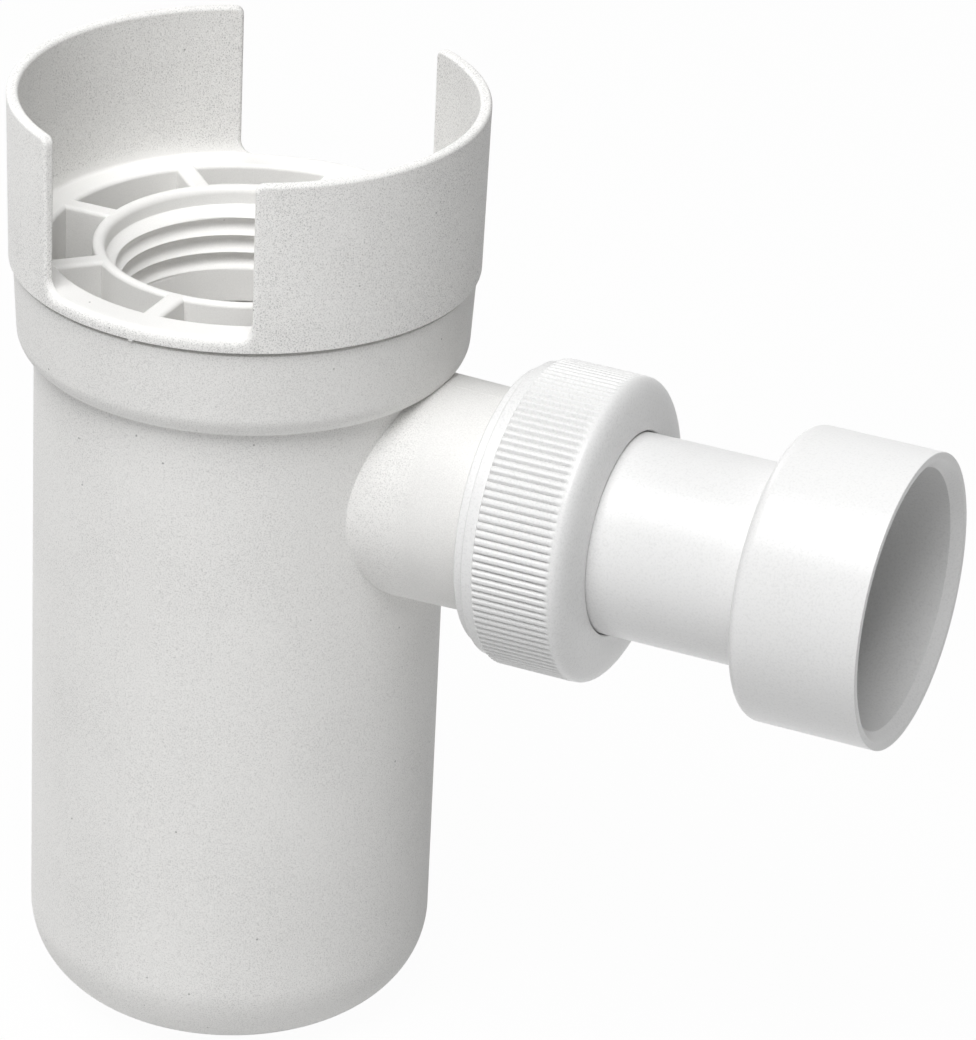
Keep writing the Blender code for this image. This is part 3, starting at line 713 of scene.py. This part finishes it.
def nut_rod(angle):
    low = NUT_START + NUT_LEAD_LENGTH
    high = BRANCH_END + NUT_CLEAR
    minor = UNION_MINOR + NUT_CLEAR
    hole_edge = NUT_HOLE + NUT_EDGE
    points = [(0.0, NUT_END + PAST), (hole_edge, NUT_END + PAST), (hole_edge, NUT_END)]
    points += [(NUT_HOLE, NUT_END - NUT_EDGE), (NUT_HOLE, NUT_SEAT), (minor, NUT_SEAT)]
    points += thread_wall(angle, low, high, minor, UNION_MAJOR + NUT_CLEAR, low_r=NUT_ENTRY)
    return points + [(NUT_ENTRY, NUT_START - PAST), (0.0, NUT_START - PAST)]


combine(nut, lay_along_outlet(turn("nut_rod", nut_rod)), "DIFFERENCE")
print("nut:", len(nut.data.polygons), "faces")

# %% [markdown]
# ## The tail pipe and the pieces inside
#
# The tail pipe is a tube with a flange at one end and a socket at the other, where the drain pipe is pushed
# in. The dip tube, its seal and the gasket hardly show, but light that falls through the windows reaches
# the funnel, and the nut can be undone, so they are turned too.

# %% Tail pipe: flange, tube and socket
TAIL_OUTER = 12.5
TAIL_BORE = 10.9
FLANGE_START = tail_low[0]
FLANGE = 1.7
SHOULDER = 72.6
SHOULDER_FILLET = 0.25
SOCKET_OUTER = tail_high[1]
SOCKET_BORE = 16.05
SOCKET_ROUND = 1.6
SOCKET_FLOOR = 74.7
MOUTH = tail_high[0]
MOUTH_EDGE = 0.1
LEAD_IN = (1.12, 1.3)
LEAD_IN_EDGE = (0.15, 0.07)


def tail_profile(angle):
    flange_end = FLANGE_START + FLANGE
    lead_in_r = SOCKET_BORE + LEAD_IN[0]
    points = [(TAIL_BORE, FLANGE_START), (UNION_MINOR, FLANGE_START), (UNION_MINOR, flange_end)]
    points += [(TAIL_OUTER, flange_end)]
    points += arc(TAIL_OUTER + SHOULDER_FILLET, SHOULDER - SHOULDER_FILLET, SHOULDER_FILLET, 180, 90, 4)
    points += arc(SOCKET_OUTER - SOCKET_ROUND, SHOULDER + SOCKET_ROUND, SOCKET_ROUND, -90, 0, 12)
    points += arc(SOCKET_OUTER - MOUTH_EDGE, MOUTH - MOUTH_EDGE, MOUTH_EDGE, 0, 90, 5)
    points += [(lead_in_r + LEAD_IN_EDGE[0], MOUTH), (lead_in_r, MOUTH - LEAD_IN_EDGE[1])]
    points += [(SOCKET_BORE, MOUTH - LEAD_IN[1])]
    return points + [(SOCKET_BORE, SOCKET_FLOOR), (TAIL_BORE, SOCKET_FLOOR)]


tail = lay_along_outlet(turn("tail_moulding", tail_profile))
print("tail pipe:", len(tail.data.polygons), "faces")

# %% [markdown]
# The funnel catches what falls through the hub and the windows and hands it to the dip tube. It slopes at
# 45 degrees and its wall is as thick as the tube's, so one profile does for both.

# %% Dip tube with its funnel
DIP_OUTER = 12.6
DIP_BORE = 11.0
FUNNEL_MOUTH = 24.4
FUNNEL_FLANGE = 1.25


def dip_profile(angle):
    high = dip_high[2]
    neck = high - (FUNNEL_MOUTH - DIP_BORE)
    wall = DIP_OUTER - DIP_BORE
    slant = wall * math.sqrt(2.0)
    under = high - FUNNEL_FLANGE
    points = [(SPIGOT_OUTER, high), (FUNNEL_MOUTH, high), (DIP_BORE, neck), (DIP_BORE, dip_low[2])]
    points += [(DIP_OUTER, dip_low[2]), (DIP_OUTER, neck - slant + wall)]
    return points + [(FUNNEL_MOUTH + slant - FUNNEL_FLANGE, under), (SPIGOT_OUTER, under)]


dip = turn("dip_moulding", dip_profile)
print("dip tube:", len(dip.data.polygons), "faces")

# %% [markdown]
# The funnel's flange lies on a rubber ring, and a flat rubber washer is squeezed between the branch and the
# tail pipe. The ring's corners are arcs, the washer's are cut off.

# %% Seal and gasket
SEAL_WIDTH = 1.1
SEAL_EDGE = 0.2
GASKET_EDGE = 0.1


def seal_profile(angle):
    outer = seal_high[0] - SEAL_EDGE
    inner = seal_high[0] - SEAL_WIDTH + SEAL_EDGE
    high = seal_high[2] - SEAL_EDGE
    low = seal_low[2] + SEAL_EDGE
    corners = ((outer, high, 0), (inner, high, 90), (inner, low, 180), (outer, low, 270))
    return [point for r, h, a in corners for point in arc(r, h, SEAL_EDGE, a, a + 90, 4)]


def gasket_profile(angle):
    low, high = gasket_low[0], gasket_high[0]
    outer = gasket_high[1]
    points = [(BRANCH_BORE, low), (outer - GASKET_EDGE, low), (outer, low + GASKET_EDGE)]
    return points + [(outer, high - GASKET_EDGE), (outer - GASKET_EDGE, high), (BRANCH_BORE, high)]


seal = turn("seal_ring", seal_profile)
gasket = lay_along_outlet(turn("gasket_washer", gasket_profile))
for piece in (seal, gasket):
    print(piece.name, len(piece.data.polygons), "faces")

# %% [markdown]
# ## Smooth rounds and crisp edges
#
# A fine mesh still shades as facets until it is told which edges are real. Edges over 30 degrees stay
# sharp, the others are shaded smooth, and weighted normals let each large flat keep its own direction right
# up to a round.

# %% Shade the mouldings
SHARP_FROM = math.radians(30.0)
FLAT_WEIGHT = 80
pieces = {
    "inlet_crown": (crown, "crown"),
    "trap_body": (cup, "trap"),
    "union_nut": (nut, "nut"),
    "tail_pipe": (tail, "tail"),
    "dip_tube": (dip, "trap"),
    "insert_seal": (seal, "trap"),
    "outlet_gasket": (gasket, "gasket"),
}
for piece, body in pieces.values():
    piece.data.shade_smooth()
    piece.data.set_sharp_from_angle(angle=SHARP_FROM)
    weighted = piece.modifiers.new("even_normals", "WEIGHTED_NORMAL")
    weighted.keep_sharp = True
    weighted.weight = FLAT_WEIGHT
    piece.data.calc_loop_triangles()
    print(piece.name, len(piece.data.loop_triangles), "triangles")

# %% [markdown]
# ## The plastics
#
# The crown and the cup are one plastic: a warm grey white with a fine spark-eroded grain, which scatters
# the light. The nut and the tail pipe come from a polished mould and are whiter. A texture image would do
# for the grain, but noise that is worked out in the material has no seams and no end. Two small helpers lay
# the nodes that come back again and again: a noise, and a range that is moved to another range.

# %% Helper: noise and ranges
def noise(nodes, links, place, per_metre, detail):
    values = nodes.new("ShaderNodeTexNoise")
    values.inputs["Scale"].default_value = per_metre
    values.inputs["Detail"].default_value = detail
    links.new(place, values.inputs["Vector"])
    return values


def moved_range(nodes, links, value, low, high, new_low=0.0, new_high=1.0):
    """Values from low to high become values from new_low to new_high, and no more than that."""
    moved = nodes.new("ShaderNodeMapRange")
    moved.inputs["From Min"].default_value = low
    moved.inputs["From Max"].default_value = high
    moved.inputs["To Min"].default_value = new_low
    moved.inputs["To Max"].default_value = new_high
    links.new(value, moved.inputs["Value"])
    return moved.outputs["Result"]


# %% [markdown]
# The grain is weaker on the ledge and on the branch, where the mould was smoother, but runs on round the
# outside of the skirt. It could be a second material, but then its edge would be a line. So the grain fades
# along an axis, and the distance from the trap's axis keeps it where it belongs.

# %% Helper: grain that gets weaker on a part of the moulding
WEAK_SHARE = 0.3
RADIUS_BLEND = 0.4


def weaker_grain(nodes, links, place, grain, axis, full_to, weak_from, level, full_past):
    """The grain fades to a level between two places on an axis, in millimetres, but not past a radius."""
    where = nodes.new("ShaderNodeSeparateXYZ")
    links.new(place, where.inputs["Vector"])
    fade = moved_range(nodes, links, where.outputs[axis], full_to * MM, weak_from * MM, 1.0, WEAK_SHARE)
    flat = nodes.new("ShaderNodeVectorMath")
    flat.operation = "MULTIPLY"
    flat.inputs[1].default_value = (1.0, 1.0, 0.0)
    links.new(place, flat.inputs[0])
    radius = nodes.new("ShaderNodeVectorMath")
    radius.operation = "LENGTH"
    links.new(flat.outputs["Vector"], radius.inputs[0])
    blend_from = full_past - RADIUS_BLEND
    outside = moved_range(nodes, links, radius.outputs["Value"], blend_from * MM, full_past * MM)
    kept = nodes.new("ShaderNodeMath")
    kept.operation = "MAXIMUM"
    links.new(fade, kept.inputs[0])
    links.new(outside, kept.inputs[1])
    weaker = nodes.new("ShaderNodeMix")
    weaker.inputs["A"].default_value = level
    links.new(kept.outputs["Value"], weaker.inputs["Factor"])
    links.new(grain, weaker.inputs["B"])
    return weaker.outputs["Result"]


# %% [markdown]
# The grained plastic has a few dark specks moulded in. The cells of a Voronoi texture fill space, and each
# has one point. Where the surface happens to pass close to such a point, a small dot shows, so the dots lie
# at random and differ in size.

# %% Helper: dark specks
SPECK_CELLS = 260.0
SPECK_CORE = 0.02
SPECK_EDGE = 0.045
SPECK_SHADE = 0.45


def specked(nodes, links, place, colour):
    """Multiplies a colour by the dots."""
    cells = nodes.new("ShaderNodeTexVoronoi")
    cells.inputs["Scale"].default_value = SPECK_CELLS
    links.new(place, cells.inputs["Vector"])
    dot = moved_range(nodes, links, cells.outputs["Distance"], SPECK_CORE, SPECK_EDGE, SPECK_SHADE, 1.0)
    dotted = nodes.new("ShaderNodeVectorMath")
    dotted.operation = "MULTIPLY"
    links.new(colour, dotted.inputs[0])
    links.new(dot, dotted.inputs[1])
    return dotted.outputs["Vector"]


# %% [markdown]
# The grain works twice. As a bump it bends the light, over edges that a small bevel in the shader softens
# where the cuts left them sharp. As a tint it darkens its own hollows, which keeps it visible in soft
# light.

# %% Helper: grain as a bump and as a tint
HOLLOW = 0.38
MIDDLE = 0.56
CREST = 0.78
HOLLOW_DARKER = 3.0
CLOUD_SHARE = 0.15
BEVEL_SAMPLES = 6


def grain_bump(nodes, links, relief, grain_height, edge):
    soft_edge = nodes.new("ShaderNodeBevel")
    soft_edge.samples = BEVEL_SAMPLES
    soft_edge.inputs["Radius"].default_value = edge * MM
    bump = nodes.new("ShaderNodeBump")
    bump.inputs["Strength"].default_value = 1.0
    bump.inputs["Distance"].default_value = grain_height * MM
    links.new(relief, bump.inputs["Height"])
    links.new(soft_edge.outputs["Normal"], bump.inputs["Normal"])
    return bump.outputs["Normal"]


def grain_tint(nodes, links, relief, cloud, colour, speckle):
    mixed = nodes.new("ShaderNodeMath")
    mixed.operation = "MULTIPLY_ADD"
    mixed.inputs[1].default_value = CLOUD_SHARE
    links.new(cloud, mixed.inputs[0])
    links.new(relief, mixed.inputs[2])
    tint = nodes.new("ShaderNodeValToRGB")
    ramp = tint.color_ramp.elements
    ramp.new(MIDDLE)
    shades = ((HOLLOW, 1.0 - HOLLOW_DARKER * speckle), (MIDDLE, 1.0), (CREST, 1.0 + speckle))
    for stop, (position, share) in zip(ramp, shades):
        stop.position = position
        stop.color = [min(1.0, c * share) for c in colour] + [1.0]
    links.new(mixed.outputs["Value"], tint.inputs["Fac"])
    return tint.outputs["Color"]


# %% [markdown]
# A moulded plastic is put together from these. A second noise, as broad as a thumb, varies its roughness a
# little and clouds the tint, because no moulding is quite even. Only the two grained pieces fade and have
# specks.

# %% Helper: a moulded plastic
GRAIN_DETAIL = 3.0
GRAIN_ROUGHNESS = 0.6
CLOUDS_PER_METRE = 70.0
CLOUD_DETAIL = 2.0
CLOUD_RANGE = (0.1, 0.9)
ROUGHNESS_SPREAD = 0.03


def moulded_plastic(name, colour, gloss, roughness, grain, height, edge, speckle, fade=None):
    """grain is the noise's scale per metre. height and edge are in millimetres."""
    mat = bpy.data.materials.new(name)
    mat.use_nodes = True
    nodes = mat.node_tree.nodes
    links = mat.node_tree.links
    shader = nodes["Principled BSDF"]
    place = nodes.new("ShaderNodeTexCoord").outputs["Object"]

    fine = noise(nodes, links, place, grain, GRAIN_DETAIL)
    fine.inputs["Roughness"].default_value = GRAIN_ROUGHNESS
    relief = fine.outputs["Fac"]
    if fade is not None:
        relief = weaker_grain(nodes, links, place, relief, **fade)
    links.new(grain_bump(nodes, links, relief, height, edge), shader.inputs["Normal"])

    cloud = noise(nodes, links, place, CLOUDS_PER_METRE, CLOUD_DETAIL).outputs["Fac"]
    tinted = grain_tint(nodes, links, relief, cloud, colour, speckle)
    if fade is not None:
        tinted = specked(nodes, links, place, tinted)
    links.new(tinted, shader.inputs["Base Color"])

    smooth = roughness - ROUGHNESS_SPREAD
    rough = roughness + ROUGHNESS_SPREAD
    links.new(moved_range(nodes, links, cloud, *CLOUD_RANGE, smooth, rough), shader.inputs["Roughness"])
    shader.inputs["Specular IOR Level"].default_value = gloss
    return mat


# %% [markdown]
# Five plastics come from one function. The crown and the cup share their gloss and the size of their grain,
# and differ a little in tone. The nut and the tail pipe share their tone too, and differ a little in
# roughness. The strength of the grain is each moulding's own.

# %% Mix the plastics
BEYOND = 100.0
ledge_fade = {"axis": "Z", "full_to": 2.0, "weak_from": 0.3, "level": 0.56, "full_past": SKIRT_OUTER - 0.1}
branch_fade = {"axis": "X", "full_to": 26.5, "weak_from": 29.5, "level": 0.43, "full_past": BEYOND}
grained = {"gloss": 0.3, "roughness": 0.6, "grain": 6200.0, "edge": 0.14}
polished = {"colour": (0.8, 0.8, 0.797), "gloss": 0.5, "grain": 3600.0}
crown_white = moulded_plastic(
    "grained_white_crown", (0.845, 0.84, 0.825), height=0.02, speckle=0.14, fade=ledge_fade, **grained
)
cup_white = moulded_plastic(
    "grained_white_cup", (0.84, 0.835, 0.82), height=0.016, speckle=0.085, fade=branch_fade, **grained
)
nut_white = moulded_plastic(
    "polished_white_nut", roughness=0.35, height=0.008, edge=0.1, speckle=0.03, **polished
)
tail_white = moulded_plastic(
    "polished_white_tail", roughness=0.3, height=0.005, edge=0.06, speckle=0.025, **polished
)
# The dip tube and its funnel are a dark grey, far darker than the other mouldings: painted shade, which
# darkens the depths that show through the windows.
dip_painted_shade = moulded_plastic(
    "painted_shade_grey_dip", (0.55, 0.54, 0.52), 0.4, 0.45, grain=2500.0, height=0.01, edge=0.15, speckle=0.02
)
print("plastics:", [mat.name for mat in (crown_white, cup_white, nut_white, tail_white, dip_painted_shade)])

# %% [markdown]
# Both rubber rings are black. Then each piece gets its finish and takes over from its solid: it is hung from
# an empty for the body that it moves with, and its solid is hidden.

# %% Mix the rubber and dress the pieces
rubber = {
    "colour": (0.03, 0.03, 0.03),
    "gloss": 0.4,
    "roughness": 0.7,
    "grain": 2500.0,
    "height": 0.01,
    "edge": 0.1,
    "speckle": 0.1,
}
finishes = {
    "inlet_crown": crown_white,
    "trap_body": cup_white,
    "dip_tube": dip_painted_shade,
    "union_nut": nut_white,
    "tail_pipe": tail_white,
    "insert_seal": moulded_plastic("black_rubber_seal", **rubber),
    "outlet_gasket": moulded_plastic("black_rubber_gasket", **rubber),
}
for node, (piece, body) in pieces.items():
    piece.data.materials.clear()
    piece.data.materials.append(finishes[node])
    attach(piece, body)
    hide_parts(node)
    print(piece.name, "rides on", body)

# %% [markdown]
# ## Floor, light and camera
#
# The photograph has a pure white ground with hardly a shadow. More light would burn out the plastic, so the
# floor gives the camera most of its white by itself and takes only a part of it from the lamps. That part
# keeps the soft shadow under the cup.

# %% Floor and background
def white_for_camera(tree, lit, share):
    """Mixes a share of white over lit for the camera, reflections and glass. Other rays get lit alone."""
    nodes = tree.nodes
    links = tree.links
    path = nodes.new("ShaderNodeLightPath")
    seen = nodes.new("ShaderNodeMath")
    seen.operation = "MAXIMUM"
    links.new(path.outputs["Is Camera Ray"], seen.inputs[0])
    links.new(path.outputs["Is Glossy Ray"], seen.inputs[1])
    seen_too = nodes.new("ShaderNodeMath")
    seen_too.operation = "MAXIMUM"
    links.new(seen.outputs["Value"], seen_too.inputs[0])
    links.new(path.outputs["Is Transmission Ray"], seen_too.inputs[1])
    part = nodes.new("ShaderNodeMath")
    part.operation = "MULTIPLY"
    part.inputs[1].default_value = share
    links.new(seen_too.outputs["Value"], part.inputs[0])
    mix = nodes.new("ShaderNodeMixShader")
    links.new(part.outputs["Value"], mix.inputs[0])
    links.new(lit, mix.inputs[1])
    return mix


FLOOR_HALF = 4.0
FLOOR_GAP = 0.1
FLOOR_TONE = 0.7
FLOOR_OWN_WHITE = 0.97

floor_bm = bmesh.new()
bmesh.ops.create_grid(floor_bm, x_segments=1, y_segments=1, size=FLOOR_HALF)
floor_mesh = bpy.data.meshes.new("floor")
floor_bm.to_mesh(floor_mesh)
floor_bm.free()
floor = bpy.data.objects.new("floor", floor_mesh)
bpy.context.scene.collection.objects.link(floor)
floor.location = (0.0, 0.0, (CUP_BASE - FLOOR_GAP) * MM)

floor_paint = bpy.data.materials.new("white_floor")
floor_paint.use_nodes = True
tree = floor_paint.node_tree
paint = tree.nodes["Principled BSDF"]
paint.inputs["Base Color"].default_value = (FLOOR_TONE, FLOOR_TONE, FLOOR_TONE, 1.0)
paint.inputs["Roughness"].default_value = 1.0
paint.inputs["Specular IOR Level"].default_value = 0.0
glow = tree.nodes.new("ShaderNodeEmission")
mix = white_for_camera(tree, paint.outputs["BSDF"], FLOOR_OWN_WHITE)
tree.links.new(glow.outputs["Emission"], mix.inputs[2])
tree.links.new(mix.outputs["Shader"], tree.nodes["Material Output"].inputs["Surface"])
floor.data.materials.append(floor_paint)
floor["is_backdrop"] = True
print("floor at", round(floor.location.z / MM, 2), "mm")

# %% [markdown]
# The world is the pale room round the table. It lights the object weakly, but the camera and reflections
# see it as white.

# %% World
WHITE = (1.0, 1.0, 1.0, 1.0)
ROOM_LIGHT = 0.15

world = bpy.data.worlds.new("studio")
bpy.context.scene.world = world
world.use_nodes = True
tree = world.node_tree
around = tree.nodes["Background"]
around.inputs["Color"].default_value = WHITE
around.inputs["Strength"].default_value = ROOM_LIGHT
white = tree.nodes.new("ShaderNodeBackground")
white.inputs["Color"].default_value = WHITE
mix = white_for_camera(tree, around.outputs["Background"], 1.0)
tree.links.new(white.outputs["Background"], mix.inputs[2])
tree.links.new(mix.outputs["Shader"], tree.nodes["World Output"].inputs["Surface"])
print("room's light:", ROOM_LIGHT)

# %% [markdown]
# The camera stands where the photographer stood: in front, turned a little towards the outlet and about 26
# degrees up, with a long lens. Its place is given by the point that it looks at, two angles, a distance and
# a slight roll, so that each number can be changed by itself.

# %% Camera
TARGET = Vector((0.035567, 0.0, -0.030873))
AZIMUTH = -66.443
ELEVATION = 26.432
ROLL = 2.774
DISTANCE = 0.675562
IMAGE = (976, 1040)
LENS_PIXELS = 5539.6166
SHIFT_PIXELS = (-12.018, 13.937)
SENSOR = 36.0

azimuth, elevation, roll = (math.radians(a) for a in (AZIMUTH, ELEVATION, ROLL))
back = Vector((math.cos(azimuth), math.sin(azimuth), math.tan(elevation))).normalized()
side = Vector((-math.sin(azimuth), math.cos(azimuth), 0.0))
top = back.cross(side)
right = side * math.cos(roll) + top * math.sin(roll)
up = back.cross(right)

camera = bpy.data.objects.new("camera", bpy.data.cameras.new("camera"))
bpy.context.scene.collection.objects.link(camera)
turned = Matrix((right, up, back)).transposed().to_4x4()
camera.matrix_world = Matrix.Translation(TARGET + back * DISTANCE) @ turned
camera.data.sensor_fit = "HORIZONTAL"
camera.data.sensor_width = SENSOR
camera.data.lens = SENSOR * LENS_PIXELS / IMAGE[0]
camera.data.shift_x = SHIFT_PIXELS[0] / IMAGE[0]
camera.data.shift_y = SHIFT_PIXELS[1] / IMAGE[0]
bpy.context.scene.camera = camera
print("camera at", [round(v, 4) for v in camera.location])

# %% [markdown]
# One large soft box hangs high in front of the object. It draws the bright bands on the nut and the pipes.
# A second one hangs behind the object on the left and lights the sides that the first one doesn't reach.
# The pale room does the rest.

# %% Lamps
def soft_box(name, azimuth, elevation, distance, size, watts):
    light = bpy.data.lights.new(name, "AREA")
    light.shape = "SQUARE"
    light.size = size
    light.energy = watts
    lamp = bpy.data.objects.new(name, light)
    bpy.context.scene.collection.objects.link(lamp)
    a, e = math.radians(azimuth), math.radians(elevation)
    away = Vector((math.cos(a) * math.cos(e), math.sin(a) * math.cos(e), math.sin(e)))
    lamp.location = TARGET + away * distance
    lamp.rotation_euler = away.to_track_quat("Z", "Y").to_euler()
    return lamp


soft_box("key", azimuth=-87.0, elevation=62.0, distance=0.9, size=0.6, watts=8.5)
soft_box("fill", azimuth=160.0, elevation=27.0, distance=1.2, size=0.6, watts=5.4)
bpy.context.scene.view_settings.view_transform = "Standard"

# %% [markdown]
# ## Last check of the size
#
# The dressed object must stay inside the measured one. The largest overhang on any side is printed.

# %% Compare the boxes and finish
dressed_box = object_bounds()
over = [max(s - d, e - t) for s, d, t, e in zip(solid_box[0], dressed_box[0], solid_box[1], dressed_box[1])]
print("largest overhang in mm:", round(max(over) / MM, 4))
